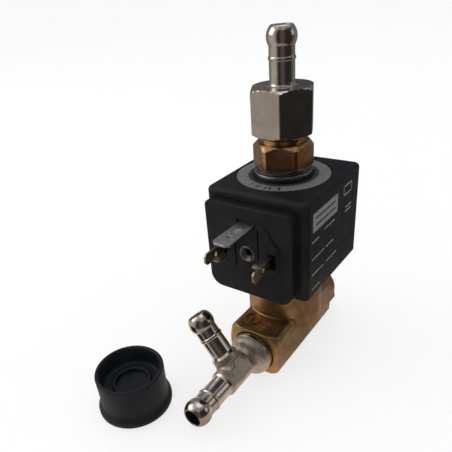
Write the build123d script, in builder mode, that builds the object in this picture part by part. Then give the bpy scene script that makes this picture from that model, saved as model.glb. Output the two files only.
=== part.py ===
from build123d import *
from math import cos, radians, sin
import os

# Direct-acting 3/2 solenoid valve: brass body, armature tube, swivelling coil with a blade
# connector, clamped by a nut, a hose tail on the exhaust and a tee hose fitting on the inlet.
# Millimetres. Z is the armature axis, z = 0 the underside of the body, the inlet and the
# connector face -Y, the outlet faces +Y.

# brass body
BLOCK_X = 20.0
BLOCK_FRONT = -24.4
BLOCK_REAR = 21.0
BLOCK_Z = 17.2
BLOCK_ROUND = 2.4
PORT_Z = 8.2
TURNED_R = 10.6
REAR_BOSS_R = 9.2
REAR_END = 28.0
TOWER_R = 14.0
TOWER_FOOT = 11.4
TOWER_TOP = 29.0
PORT_R = 5.72
PORT_DEPTH = 12.0
PASSAGE_R = 1.9
CHAMBER_R = 6.6
CHAMBER_Z = 13.0
SPIGOT_R = 9.0
SPIGOT_Z = 18.5
SPOT_R = 8.6
SPOT_DEPTH = 0.8
RING_MARK_R = 3.3

# seat insert
SEAT_R = 2.6
SEAT_TOP = 14.5
ORIFICE_R = 1.1

# armature tube, fixed core and plunger
FLANGE_AF = 22.0
FLANGE_TOP = 33.4
TUBE_R = 6.9
TUBE_BORE = 5.6
TUBE_TOP = 68.0
CORE_Z = 58.0
STEM_R = 6.0
STEM_TOP = 94.0
EXHAUST_R = 1.25
PLUNGER_R = 5.52
PLUNGER_FOOT = 14.9
STROKE = 1.2
SPRING_POCKET_IN = 3.3
SPRING_POCKET_OUT = 4.7
SPRING_FOOT = 47.6

# coil
COIL_X0 = -17.8
COIL_X1 = 19.6
COIL_Y0 = -20.7
COIL_Y1 = 20.1
COIL_Z0 = 34.6
COIL_Z1 = 69.6
COIL_ROUND = 2.0
COIL_BORE = 7.2
CAVITY_R = 15.2
CAVITY_Z0 = 37.4
CAVITY_Z1 = 66.4
RECESS = 0.5
LABEL_R = 15.9
LABEL_HOLE = 10.4

# connector, laid out on the 18 mm blade pitch
PLATE_X = 32.4
PLATE_SHIFT = -0.2
PLATE_Z0 = 33.5
PLATE_Z1 = 66.4
PLATE_Y = 3.5
PIN_PITCH = 18.0
BUSH_Z = 50.2
EARTH_Z = 60.6
BLADE_W = 6.3
BLADE_T = 0.8
EARTH_LENGTH = 14.8
BUSH_R = 2.95
LIVE_TIP = -35.7
LIVE_WEB = 4.0
LIVE_FOLD = 3.0
ISLAND = 0.6
PARTING_Z = 44.2

# clamping stack over the coil
WASHER_R = 9.85
WASHER_Z0 = 70.3
COLLAR_GAP = 0.05
WASHER_Z1 = 71.4
NUT_Z0 = 72.3
NUT_Z1 = 81.0
NUT_AF = 18.0
NUT_R = 10.05
NUT_TURN = 22.0
COLLAR_R = 7.1
COLLAR_TOP = 82.3

# hose tail and adapter
ADAPTER_AF = 19.0
ADAPTER_Z0 = 83.2
ADAPTER_Z1 = 98.2
HOSE_R = 4.0
HOSE_LENGTH = 17.0
BEAD_R = 4.66
HOSE_BORE = 2.9

# tee fitting
TEE_ARM = 24.4
TEE_HUB = 12.3
TEE_TILT = 37.5
TEE_HUB_R = 4.75
TEE_BRANCH_R = 4.6
TEE_FLAT = 4.1
SHOULDER_R = 8.0

# protective cap, standing beside the valve
CAP_X = -27.4
CAP_Y = -60.4
CAP_R = 11.9
CAP_BEAD_R = 13.0
CAP_Z = 15.9

os.makedirs("parts", exist_ok=True)


def ring(outer, inner, z0, z1):
    """A ring, or a disc when inner is zero, on the armature axis."""
    with BuildPart() as made:
        with BuildSketch(Plane.XY.offset(z0)):
            Circle(outer)
            if inner > 0:
                Circle(inner, mode=Mode.SUBTRACT)
        extrude(amount=z1 - z0)
    return made.part


def lathe(profile):
    """A solid of revolution about Z from (radius, z) points."""
    with BuildPart() as made:
        with BuildSketch(Plane.XZ):
            with BuildLine():
                Polyline(*profile, close=True)
            make_face()
        revolve(axis=Axis.Z)
    return made.part


def torus(major, minor, z):
    """An O-ring on the armature axis."""
    with BuildPart() as made:
        with Locations((0, 0, z)):
            Torus(major, minor)
    return made.part


def hexagon(across_flats, z0, z1, top_r, bottom_r, slope, turn=0.0):
    """A hexagonal bar whose ends are turned down to top_r and bottom_r by cones."""
    corner = across_flats / 3**0.5
    with BuildPart() as made:
        with BuildSketch(Plane.XY.offset(z0)):
            RegularPolygon(corner, 6, rotation=turn)
        extrude(amount=z1 - z0)
        far = corner + 1.0
        add(
            lathe(
                [
                    (0, z0),
                    (bottom_r, z0),
                    (far, z0 + (far - bottom_r) * slope),
                    (far, z1 - (far - top_r) * slope),
                    (top_r, z1),
                    (0, z1),
                ]
            ),
            mode=Mode.INTERSECT,
        )
    return made.part


def hose_tail(length=HOSE_LENGTH):
    """A barbed hose tail along +Z from z = 0, with its root fillet, ring and end bead."""
    with BuildPart() as made:
        with BuildSketch(Plane.XZ):
            with BuildLine():
                Line((0, 0), (HOSE_R + 0.5, 0))
                Line((HOSE_R + 0.5, 0), (HOSE_R, 0.7))
                Line((HOSE_R, 0.7), (HOSE_R, 7.3))
                ThreePointArc((HOSE_R, 7.3), (HOSE_R + 0.27, 7.9), (HOSE_R, 8.5))
                Line((HOSE_R, 8.5), (HOSE_R, length - 5.6))
                ThreePointArc(
                    (HOSE_R, length - 5.6),
                    (BEAD_R, length - 2.8),
                    (HOSE_BORE + 0.5, length),
                )
                Line((HOSE_BORE + 0.5, length), (0, length))
                Line((0, length), (0, 0))
            make_face()
        revolve(axis=Axis.Z)
    return made.part


# brass body
with BuildPart() as valve_body:
    with BuildSketch(Plane.XZ.offset(-BLOCK_FRONT)):
        with Locations((0, BLOCK_Z / 2)):
            RectangleRounded(BLOCK_X, BLOCK_Z, BLOCK_ROUND)
    extrude(amount=BLOCK_FRONT - BLOCK_REAR)
    # the front end is turned off square, which bevels its corners
    with Locations(Plane(origin=(0, BLOCK_FRONT, PORT_Z), z_dir=(0, 1, 0))):
        add(
            lathe([(0, 0), (TURNED_R, 0), (TURNED_R + 3.5, 2.5), (TURNED_R + 3.5, 50.0), (0, 50.0)]),
            mode=Mode.INTERSECT,
        )
    with BuildSketch(Plane.XZ.offset(-BLOCK_REAR + 4)):
        with Locations((0, PORT_Z)):
            Circle(REAR_BOSS_R)
        with BuildLine():
            Polyline((-7.2, 0), (7.2, 0), (9.5, 4.0), (9.0, 7.0), (-9.0, 7.0), (-9.5, 4.0), close=True)
        make_face()
        Rectangle(30.0, 10.0, align=(Align.CENTER, Align.MAX), mode=Mode.SUBTRACT)
    extrude(amount=BLOCK_REAR - 4 - REAR_END)
    add(
        lathe(
            [
                (0, TOWER_FOOT),
                (TOWER_R - 1.2, TOWER_FOOT),
                (TOWER_R, TOWER_FOOT + 1.2),
                (TOWER_R, TOWER_TOP - 0.8),
                (TOWER_R - 0.8, TOWER_TOP),
                (0, TOWER_TOP),
            ]
        )
    )
    add(ring(SPIGOT_R, 0, SPIGOT_Z, TOWER_TOP), mode=Mode.SUBTRACT)
    add(ring(CHAMBER_R, 0, CHAMBER_Z, SPIGOT_Z), mode=Mode.SUBTRACT)
    add(ring(SEAT_R, 0, 10.6, CHAMBER_Z), mode=Mode.SUBTRACT)
    add(ring(ORIFICE_R + 0.3, 0, PORT_Z, 10.6), mode=Mode.SUBTRACT)
    with BuildSketch(Plane.XZ.offset(-BLOCK_FRONT)):
        with Locations((0, PORT_Z)):
            Circle(SPOT_R)
    extrude(amount=-SPOT_DEPTH, mode=Mode.SUBTRACT)
    with BuildSketch(Plane.XZ.offset(-BLOCK_FRONT)):
        with Locations((0, PORT_Z)):
            Circle(PORT_R + 0.9)
    extrude(amount=-PORT_DEPTH, mode=Mode.SUBTRACT)
    with BuildSketch(Plane.XZ.offset(-BLOCK_FRONT)):
        with Locations((0, PORT_Z)):
            Circle(PASSAGE_R)
    extrude(amount=BLOCK_FRONT - 2.2, mode=Mode.SUBTRACT)
    with BuildSketch(Plane.XZ.offset(-REAR_END)):
        with Locations((0, PORT_Z)):
            Circle(PORT_R)
    extrude(amount=PORT_DEPTH, mode=Mode.SUBTRACT)
    with BuildSketch(Plane.XZ.offset(-REAR_END)):
        with Locations((0, PORT_Z)):
            Circle(PASSAGE_R)
    extrude(amount=REAR_END - 4.0, mode=Mode.SUBTRACT)
    with BuildSketch(Plane.XY.offset(PORT_Z)):
        with Locations((0, 5.0)):
            Circle(1.3)
    extrude(amount=CHAMBER_Z - PORT_Z, mode=Mode.SUBTRACT)
    with BuildSketch(Plane.XZ.offset(-REAR_END)):
        with Locations((0, PORT_Z)):
            Circle(PORT_R + 0.9)
    extrude(amount=1.0, taper=40, mode=Mode.SUBTRACT)
    with BuildSketch(Plane.XY.offset(BLOCK_Z)):
        with Locations((-3.8, -17.6)):
            Circle(RING_MARK_R)
            Circle(RING_MARK_R - 0.5, mode=Mode.SUBTRACT)
    extrude(amount=0.25)
    with BuildSketch(Plane.XY.offset(BLOCK_Z)):
        with Locations((2.9, -18.4)):
            Rectangle(0.6, 4.4)
    extrude(amount=0.25)
    arcs = valve_body.edges().filter_by(GeomType.CIRCLE)
    tower_arcs = [arc for arc in arcs if abs(arc.radius - TOWER_R) < 0.01]
    fillet([arc for arc in tower_arcs if abs((arc @ 0).Z - BLOCK_Z) < 0.01], 1.2)
valve_body.part.label = "valve_body"
export_step(valve_body.part, "parts/valve_body.step")

# orifice insert pressed into the chamber floor
with BuildPart() as seat_insert:
    add(
        lathe(
            [
                (ORIFICE_R, 10.6),
                (SEAT_R - 0.02, 10.6),
                (SEAT_R - 0.02, SEAT_TOP - 0.9),
                (ORIFICE_R + 0.5, SEAT_TOP),
                (ORIFICE_R, SEAT_TOP),
            ]
        )
    )
seat_insert.part.label = "seat_insert"
export_step(seat_insert.part, "parts/seat_insert.step")

# armature tube with its hexagonal flange and threaded spigot
with BuildPart() as armature_tube:
    add(hexagon(FLANGE_AF, TOWER_TOP, FLANGE_TOP, 11.2, 11.6, 0.577))
    add(ring(SPIGOT_R - 0.05, 0, SPIGOT_Z + 2.3, TOWER_TOP))
    add(ring(TUBE_R, 0, FLANGE_TOP, TUBE_TOP))
    add(ring(TUBE_BORE, 0, SPIGOT_Z + 2.3, TUBE_TOP), mode=Mode.SUBTRACT)
armature_tube.part.label = "armature_tube"
export_step(armature_tube.part, "parts/armature_tube.step")

# O-rings: under the spigot, below the coil and above the coil
with BuildPart() as spigot_o_ring:
    add(torus(SPIGOT_R - 1.25, 1.1, SPIGOT_Z + 1.15))
spigot_o_ring.part.label = "spigot_o_ring"
export_step(spigot_o_ring.part, "parts/spigot_o_ring.step")

with BuildPart() as lower_coil_seal:
    add(torus(8.6, 0.6, FLANGE_TOP + 0.6))
lower_coil_seal.part.label = "lower_coil_seal"
export_step(lower_coil_seal.part, "parts/lower_coil_seal.step")

with BuildPart() as upper_coil_seal:
    add(torus(7.5, 0.42, (WASHER_Z1 + NUT_Z0) / 2))
upper_coil_seal.part.label = "upper_coil_seal"
export_step(upper_coil_seal.part, "parts/upper_coil_seal.step")

# fixed core: stop, exhaust seat and threaded stem in one bar
with BuildPart() as fixed_core:
    add(
        lathe(
            [
                (EXHAUST_R, CORE_Z + 0.3),
                (2.9, CORE_Z + 0.3),
                (3.1, CORE_Z),
                (TUBE_BORE - 0.03, CORE_Z),
                (TUBE_BORE - 0.03, TUBE_TOP),
                (TUBE_R, TUBE_TOP),
                (TUBE_R, TUBE_TOP + 0.8),
                (STEM_R, TUBE_TOP + 0.8),
                (STEM_R, STEM_TOP - 0.8),
                (STEM_R - 0.8, STEM_TOP),
                (EXHAUST_R + 1.0, STEM_TOP),
                (EXHAUST_R, STEM_TOP - 1.0),
            ]
        )
    )
    add(ring(5.0, 4.2, CORE_Z, CORE_Z + 1.2), mode=Mode.SUBTRACT)
fixed_core.part.label = "fixed_core"
export_step(fixed_core.part, "parts/fixed_core.step")

# copper shading ring in the pole face
with BuildPart() as shading_ring:
    add(ring(4.98, 4.72, CORE_Z + 0.1, CORE_Z + 1.2))
shading_ring.part.label = "shading_ring"
export_step(shading_ring.part, "parts/shading_ring.step")

# plunger, its two elastomer seals and the return spring
plunger_top = CORE_Z - STROKE
with BuildPart() as plunger:
    add(
        lathe(
            [
                (0, 17.6),
                (3.2, 17.6),
                (3.2, PLUNGER_FOOT),
                (4.2, PLUNGER_FOOT),
                (5.0, PLUNGER_FOOT + 1.0),
                (5.0, 24.0),
                (PLUNGER_R, 24.6),
                (PLUNGER_R, plunger_top - 0.5),
                (PLUNGER_R - 0.5, plunger_top),
                (SPRING_POCKET_OUT, plunger_top),
                (SPRING_POCKET_OUT, SPRING_FOOT),
                (SPRING_POCKET_IN, SPRING_FOOT),
                (SPRING_POCKET_IN, plunger_top),
                (2.5, plunger_top),
                (2.5, 54.4),
                (0, 54.4),
            ]
        )
    )
    with BuildSketch(Plane.XY.offset(24.6)):
        with PolarLocations(PLUNGER_R, 3):
            Rectangle(1.0, 1.6)
    extrude(amount=20.0, mode=Mode.SUBTRACT)
plunger.part.label = "plunger"
export_step(plunger.part, "parts/plunger.step")

with BuildPart() as inlet_seal:
    add(ring(3.18, 0, SEAT_TOP, 17.6))
inlet_seal.part.label = "inlet_seal"
export_step(inlet_seal.part, "parts/inlet_seal.step")

with BuildPart() as exhaust_seal:
    add(ring(2.48, 0, 54.4, CORE_Z + 0.3 - STROKE))
exhaust_seal.part.label = "exhaust_seal"
export_step(exhaust_seal.part, "parts/exhaust_seal.step")

spring_r = (SPRING_POCKET_IN + SPRING_POCKET_OUT) / 2
wire_r = 0.28
with BuildPart() as return_spring:
    with BuildLine() as coil_line:
        Helix(pitch=1.6, height=CORE_Z - SPRING_FOOT - 2 * wire_r, radius=spring_r,
              center=(0, 0, SPRING_FOOT + wire_r))
    with BuildSketch(Plane(origin=coil_line.line @ 0, z_dir=coil_line.line % 0)):
        Circle(wire_r)
    sweep(is_frenet=True)
return_spring.part.label = "return_spring"
export_step(return_spring.part, "parts/return_spring.step")

# moulded coil housing
with BuildPart() as coil_housing:
    with BuildSketch(Plane.XY.offset(COIL_Z0)):
        with Locations(((COIL_X0 + COIL_X1) / 2, (COIL_Y0 + COIL_Y1) / 2)):
            RectangleRounded(COIL_X1 - COIL_X0, COIL_Y1 - COIL_Y0, COIL_ROUND)
    extrude(amount=COIL_Z1 - COIL_Z0)
    fillet(coil_housing.edges().group_by(Axis.Z)[-1], COIL_ROUND - 0.2)
    fillet(coil_housing.edges().group_by(Axis.Z)[0], 0.8)
    add(ring(COIL_BORE, 0, COIL_Z0, COIL_Z1), mode=Mode.SUBTRACT)
    add(ring(LABEL_R + 0.3, 0, COIL_Z1 - RECESS, COIL_Z1), mode=Mode.SUBTRACT)
    add(ring(CAVITY_R, 0, CAVITY_Z0, CAVITY_Z1), mode=Mode.SUBTRACT)
    add(ring(9.6, COIL_BORE, COIL_Z1 - RECESS, WASHER_Z0 - COLLAR_GAP))
    add(ring(9.4, 0, COIL_Z0, COIL_Z0 + 0.6), mode=Mode.SUBTRACT)
coil_housing.part.label = "coil_housing"
export_step(coil_housing.part, "parts/coil_housing.step")

# bobbin, winding and the steel flux frame buried in the housing
frame_t = 2.0
bobbin_z0 = CAVITY_Z0 + frame_t
bobbin_z1 = CAVITY_Z1 - frame_t
with BuildPart() as bobbin:
    add(ring(8.2, COIL_BORE, bobbin_z0, bobbin_z1))
    add(ring(13.3, COIL_BORE, bobbin_z0, bobbin_z0 + 1.4))
    add(ring(13.3, COIL_BORE, bobbin_z1 - 1.4, bobbin_z1))
bobbin.part.label = "bobbin"
export_step(bobbin.part, "parts/bobbin.step")

with BuildPart() as winding:
    add(ring(12.6, 8.25, bobbin_z0 + 1.45, bobbin_z1 - 1.45))
winding.part.label = "winding"
export_step(winding.part, "parts/winding.step")

with BuildPart() as flux_frame:
    add(ring(CAVITY_R - 0.05, 13.4, CAVITY_Z0, CAVITY_Z1))
    add(ring(CAVITY_R - 0.05, COIL_BORE, CAVITY_Z0, bobbin_z0))
    add(ring(CAVITY_R - 0.05, COIL_BORE, bobbin_z1, CAVITY_Z1))
flux_frame.part.label = "flux_frame"
export_step(flux_frame.part, "parts/flux_frame.step")

# ring label in the recess round the nut
with BuildPart() as ring_label:
    add(ring(LABEL_R, LABEL_HOLE, COIL_Z1 - RECESS, COIL_Z1 - RECESS + 0.3))
ring_label.part.label = "ring_label"
export_step(ring_label.part, "parts/ring_label.step")

# rating plate on the coil's +X face
with BuildPart() as side_plate:
    with BuildSketch(Plane.YZ.offset(COIL_X1)):
        with Locations((-8.35, 62.1)):
            Rectangle(18.1, 6.4)
    extrude(amount=0.12)
side_plate.part.label = "side_plate"
export_step(side_plate.part, "parts/side_plate.step")

# connector plinth on the coil's front face
with BuildPart() as connector_plinth:
    with BuildSketch(Plane.XZ.offset(-COIL_Y0)) as outline:
        with Locations((PLATE_SHIFT, (PLATE_Z0 + PLATE_Z1) / 2)):
            Rectangle(PLATE_X, PLATE_Z1 - PLATE_Z0)
        fillet(outline.vertices().group_by(Axis.Y)[-1], 2.2)
        fillet(outline.vertices().group_by(Axis.Y)[0], 4.6)
    extrude(amount=PLATE_Y)
    fillet(connector_plinth.faces().sort_by(Axis.Y)[0].edges(), 0.5)
    with BuildSketch(Plane.XZ.offset(-COIL_Y0 + PLATE_Y)):
        with BuildLine():
            Polyline(
                (-6.6, 61.0),
                (6.6, 61.0),
                (11.6, 54.4),
                (11.6, 47.6),
                (8.6, PARTING_Z),
                (-8.6, PARTING_Z),
                (-11.6, 47.6),
                (-11.6, 54.4),
                close=True,
            )
        make_face()
    extrude(amount=ISLAND)
    with BuildSketch(Plane.XZ.offset(-COIL_Y0 + PLATE_Y + ISLAND)):
        with Locations((-4.4, 52.0), (4.4, 52.0)):
            Rectangle(0.4, 15.6)
    extrude(amount=-0.5, mode=Mode.SUBTRACT)
    with BuildSketch(Plane.XZ.offset(-COIL_Y0 + PLATE_Y + ISLAND)):
        with Locations((0, BUSH_Z)):
            Circle(BUSH_R + 0.02)
        with Locations((0, EARTH_Z)):
            Rectangle(BLADE_W + 0.1, BLADE_T + 0.1)
        for side in (-1, 1):
            with Locations((side * PIN_PITCH / 2, BUSH_Z - side * 0.7)):
                Rectangle(BLADE_T + 0.1, LIVE_WEB + 0.1)
    extrude(amount=-3.4, mode=Mode.SUBTRACT)
    with BuildSketch(Plane.XZ.offset(-COIL_Y0 + PLATE_Y + ISLAND)):
        for side in (-1, 1):
            with Locations((side * (PIN_PITCH / 2 + 0.3), BUSH_Z - side * 0.7)):
                Rectangle(2.6, LIVE_WEB + 1.6)
    extrude(amount=-1.6, mode=Mode.SUBTRACT)
    with BuildSketch(Plane.XZ.offset(-COIL_Y0 + PLATE_Y + ISLAND)):
        with Locations((0, EARTH_Z + 0.4)):
            Rectangle(BLADE_W + 0.6, 1.8)
    extrude(amount=-ISLAND - 0.5, mode=Mode.SUBTRACT)
connector_plinth.part.label = "connector_plinth"
export_step(connector_plinth.part, "parts/connector_plinth.step")

# M3 bush for the plug's fixing screw
face_y = COIL_Y0 - PLATE_Y - ISLAND
with BuildPart() as screw_bush:
    with BuildSketch(Plane.XZ.offset(-face_y - 3.4)):
        with Locations((0, BUSH_Z)):
            Circle(BUSH_R)
            Circle(1.25, mode=Mode.SUBTRACT)
    extrude(amount=3.4 + 0.15)
    with BuildSketch(Plane.XZ.offset(-face_y + 0.15)):
        with Locations((0, BUSH_Z)):
            Circle(1.75)
    extrude(amount=-1.0, mode=Mode.SUBTRACT)
    chamfer(screw_bush.faces().sort_by(Axis.Y)[0].edges(), 0.3)
screw_bush.part.label = "screw_bush"
export_step(screw_bush.part, "parts/screw_bush.step")

# flat earth blade, its tip cornered and pierced
blade_root = -face_y - 3.3
earth_tip = COIL_Y0 - PLATE_Y - EARTH_LENGTH
with BuildPart() as earth_blade:
    with BuildSketch(Plane.XY.offset(EARTH_Z - BLADE_T / 2)) as blade:
        with BuildLine():
            Polyline(
                (-BLADE_W / 2, -blade_root),
                (BLADE_W / 2, -blade_root),
                (BLADE_W / 2, earth_tip + 1.8),
                (BLADE_W / 2 - 1.5, earth_tip),
                (-BLADE_W / 2 + 1.5, earth_tip),
                (-BLADE_W / 2, earth_tip + 1.8),
                close=True,
            )
        make_face()
        with Locations((0, earth_tip + 5.2)):
            Circle(0.75, mode=Mode.SUBTRACT)
    extrude(amount=BLADE_T)
earth_blade.part.label = "earth_blade"
export_step(earth_blade.part, "parts/earth_blade.step")

# live blades: upright webs, each folded inwards along one edge; one is the other turned half round
def live_blade(side):
    """One folded contact blade at x = side * pitch / 2."""
    outer = side * (PIN_PITCH / 2 + BLADE_T / 2)
    centre = BUSH_Z - side * 0.7
    fold_z = centre + side * LIVE_WEB / 2
    with BuildPart() as made:
        with BuildSketch(Plane.YZ.offset(outer - BLADE_T if side > 0 else outer)):
            with BuildLine():
                Polyline(
                    (-blade_root, centre - side * LIVE_WEB / 2),
                    (-blade_root, fold_z),
                    (LIVE_TIP + 0.9, fold_z),
                    (LIVE_TIP, fold_z - side * 0.9),
                    (LIVE_TIP, centre - side * 1.0),
                    (LIVE_TIP + 1.2, centre - side * LIVE_WEB / 2),
                    close=True,
                )
            make_face()
            with Locations((LIVE_TIP + 5.4, centre + side * 0.3)):
                Circle(0.75, mode=Mode.SUBTRACT)
        extrude(amount=BLADE_T)
        with BuildSketch(Plane.XY.offset(fold_z - BLADE_T if side > 0 else fold_z)):
            with BuildLine():
                Polyline(
                    (outer, LIVE_TIP + 8.6),
                    (outer - side * LIVE_FOLD, LIVE_TIP + 8.6),
                    (outer - side * LIVE_FOLD, LIVE_TIP + 4.4),
                    (outer - side * 2.0, LIVE_TIP + 3.6),
                    (outer, LIVE_TIP + 3.6),
                    close=True,
                )
            make_face()
        extrude(amount=BLADE_T)
    return made.part


with BuildPart() as live_blades:
    add(live_blade(1))
    add(live_blade(-1))
live_blades.part.label = "live_blades"
export_step(live_blades.part, "parts/live_blades.step")

# washers, nut and seal that clamp the coil
with BuildPart() as flat_washer:
    add(ring(WASHER_R, STEM_R + 0.2, WASHER_Z0, WASHER_Z1))
    chamfer(flat_washer.edges().group_by(Axis.Z)[-1].sort_by(SortBy.RADIUS)[-1], 0.25)
flat_washer.part.label = "flat_washer"
export_step(flat_washer.part, "parts/flat_washer.step")

with BuildPart() as spring_washer:
    add(ring(WASHER_R - 0.35, 8.3, WASHER_Z1, NUT_Z0))
spring_washer.part.label = "spring_washer"
export_step(spring_washer.part, "parts/spring_washer.step")

with BuildPart() as coil_nut:
    with BuildSketch(Plane.XY.offset(NUT_Z0)):
        RegularPolygon(NUT_AF / 3**0.5, 6, rotation=NUT_TURN)
    extrude(amount=NUT_Z1 - NUT_Z0)
    add(
        lathe(
            [
                (0, NUT_Z0),
                (NUT_AF / 2 + 0.1, NUT_Z0),
                (NUT_R, NUT_Z0 + 1.0),
                (NUT_R, NUT_Z1 - 1.5),
                (8.5, NUT_Z1),
                (0, NUT_Z1),
            ]
        ),
        mode=Mode.INTERSECT,
    )
    add(ring(COLLAR_R, 0, NUT_Z1, COLLAR_TOP))
    add(ring(STEM_R + 0.05, 0, NUT_Z0, COLLAR_TOP), mode=Mode.SUBTRACT)
coil_nut.part.label = "coil_nut"
export_step(coil_nut.part, "parts/coil_nut.step")

with BuildPart() as adapter_seal:
    add(ring(COLLAR_R + 0.2, STEM_R + 0.1, COLLAR_TOP, ADAPTER_Z0))
adapter_seal.part.label = "adapter_seal"
export_step(adapter_seal.part, "parts/adapter_seal.step")

# exhaust adapter: hexagon with a hose tail on top, screwed on the core's stem
with BuildPart() as exhaust_adapter:
    add(hexagon(ADAPTER_AF, ADAPTER_Z0, ADAPTER_Z1, 9.6, 9.3, 0.6, turn=-5.5))
    with Locations((0, 0, ADAPTER_Z1)):
        add(hose_tail())
    add(ring(STEM_R + 0.05, 0, ADAPTER_Z0, STEM_TOP + 0.5), mode=Mode.SUBTRACT)
    add(ring(HOSE_BORE, 0, ADAPTER_Z0, ADAPTER_Z1 + HOSE_LENGTH), mode=Mode.SUBTRACT)
exhaust_adapter.part.label = "exhaust_adapter"
export_step(exhaust_adapter.part, "parts/exhaust_adapter.step")

# bonded seal between the tee and the body
with BuildPart() as tee_seal:
    with BuildSketch(Plane.XZ.offset(-BLOCK_FRONT - SPOT_DEPTH)):
        with Locations((0, PORT_Z)):
            Circle(SHOULDER_R - 0.5)
            Circle(PORT_R + 0.95, mode=Mode.SUBTRACT)
    extrude(amount=SPOT_DEPTH + 0.1)
tee_seal.part.label = "tee_seal"
export_step(tee_seal.part, "parts/tee_seal.step")

# tee hose fitting, built along its own run (local +Z) with the branch on local +X
tee_run = Plane(
    origin=(0, BLOCK_FRONT, PORT_Z),
    x_dir=(-sin(radians(TEE_TILT)), 0, cos(radians(TEE_TILT))),
    z_dir=(0, -1, 0),
)
arm = TEE_ARM - HOSE_LENGTH
with BuildPart() as tee_fitting:
    add(
        lathe(
            [
                (0, -10.5),
                (PORT_R + 0.1, -10.5),
                (PORT_R + 0.82, -9.6),
                (PORT_R + 0.82, 0.1),
                (SHOULDER_R, 0.1),
                (SHOULDER_R, 2.4),
                (7.5, 3.5),
                (6.6, 5.0),
                (5.6, 6.2),
                (TEE_FLAT - 0.2, 7.7),
                (TEE_FLAT - 0.2, TEE_HUB + 4.3),
                (TEE_HUB_R, TEE_HUB + 4.9),
                (TEE_HUB_R, TEE_HUB + arm),
                (0, TEE_HUB + arm),
            ]
        )
    )
    with BuildSketch(Plane.XY.offset(2.0)):
        Circle(TEE_HUB_R)
        Rectangle(2 * TEE_HUB_R + 1, 2 * TEE_FLAT, mode=Mode.INTERSECT)
    extrude(amount=TEE_HUB + 2.6)
    with BuildSketch(Plane.YZ):
        with Locations((0, TEE_HUB)):
            Circle(TEE_BRANCH_R)
            Rectangle(2 * TEE_FLAT, 2 * TEE_BRANCH_R + 1, mode=Mode.INTERSECT)
    extrude(amount=arm - 0.5)
    with BuildSketch(Plane.YZ.offset(arm - 2.5)):
        with Locations((0, TEE_HUB)):
            Circle(TEE_HUB_R)
    extrude(amount=2.5)
    with Locations((0, 0, TEE_HUB + arm)):
        add(hose_tail())
    with Locations(Plane(origin=(arm, 0, TEE_HUB), z_dir=(1, 0, 0))):
        add(hose_tail())
    add(ring(HOSE_BORE, 0, -10.5, TEE_HUB + TEE_ARM), mode=Mode.SUBTRACT)
    with BuildSketch(Plane.YZ):
        with Locations((0, TEE_HUB)):
            Circle(HOSE_BORE)
    extrude(amount=TEE_ARM, mode=Mode.SUBTRACT)
tee_fitting.part = tee_run * tee_fitting.part
tee_fitting.part.label = "tee_fitting"
export_step(tee_fitting.part, "parts/tee_fitting.step")

# protective cap standing open side up beside the valve
with BuildPart() as protective_cap:
    add(
        lathe(
            [
                (0, 0),
                (CAP_BEAD_R - 0.7, 0),
                (CAP_BEAD_R, 0.7),
                (CAP_BEAD_R, 2.2),
                (CAP_BEAD_R - 0.6, 3.0),
                (CAP_R - 0.2, 3.4),
                (CAP_R, CAP_Z - 0.5),
                (CAP_R - 0.4, CAP_Z),
                (CAP_R - 1.1, CAP_Z),
                (CAP_R - 1.5, CAP_Z - 0.5),
                (CAP_R - 1.7, 9.0),
                (6.7, 9.0),
                (6.7, 10.3),
                (5.7, 10.3),
                (5.7, 8.4),
                (0, 8.4),
            ]
        )
    )
protective_cap.part = Location((CAP_X, CAP_Y, 0)) * protective_cap.part
protective_cap.part.label = "protective_cap"
export_step(protective_cap.part, "parts/protective_cap.step")
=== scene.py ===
"""Looks of the solenoid valve.

Lengths are in millimetres, in the frame of the CAD model, until a mesh is made.
"""
import math

import bmesh
import bpy
import numpy as np
from mathutils import Matrix


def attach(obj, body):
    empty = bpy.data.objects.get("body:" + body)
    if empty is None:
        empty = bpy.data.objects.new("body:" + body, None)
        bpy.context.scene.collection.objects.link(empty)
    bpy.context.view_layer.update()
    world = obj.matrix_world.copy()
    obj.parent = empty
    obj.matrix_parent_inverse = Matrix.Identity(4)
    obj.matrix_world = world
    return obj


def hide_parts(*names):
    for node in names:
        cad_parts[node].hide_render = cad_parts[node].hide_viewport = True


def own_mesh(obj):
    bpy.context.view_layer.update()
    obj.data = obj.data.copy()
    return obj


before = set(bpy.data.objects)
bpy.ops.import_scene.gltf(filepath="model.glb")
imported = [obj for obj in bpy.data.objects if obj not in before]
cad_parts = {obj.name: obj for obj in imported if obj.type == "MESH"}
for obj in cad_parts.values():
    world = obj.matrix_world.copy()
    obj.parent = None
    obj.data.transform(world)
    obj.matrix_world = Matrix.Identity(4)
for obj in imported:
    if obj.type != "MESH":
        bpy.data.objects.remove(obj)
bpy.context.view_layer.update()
MM = 0.001

# the valve's driving dimensions
PORT_Z = 8.2
FRONT = -24.4
BEVEL_R, BEVEL_SLOPE, BEVEL_SCALE = 10.6, 0.714, 1.229
HUB = 12.3
TAIL_BORE = 2.9
CONTACT_Z = 50.2
FACE = 19.6

# the tee's run leans by TILT; its branch leaves the run at HUB
TILT = math.radians(37.5)
run = Matrix(
    (
        (-math.sin(TILT), -math.cos(TILT), 0, 0),
        (0, 0, -1, FRONT),
        (math.cos(TILT), -math.sin(TILT), 0, PORT_Z),
        (0, 0, 0, 1),
    )
)
branch = run @ Matrix(((0, 0, 1, 0), (0, 1, 0, 0), (-1, 0, 0, HUB), (0, 0, 0, 1)))


# ---------------------------------------------------------------- materials


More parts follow.
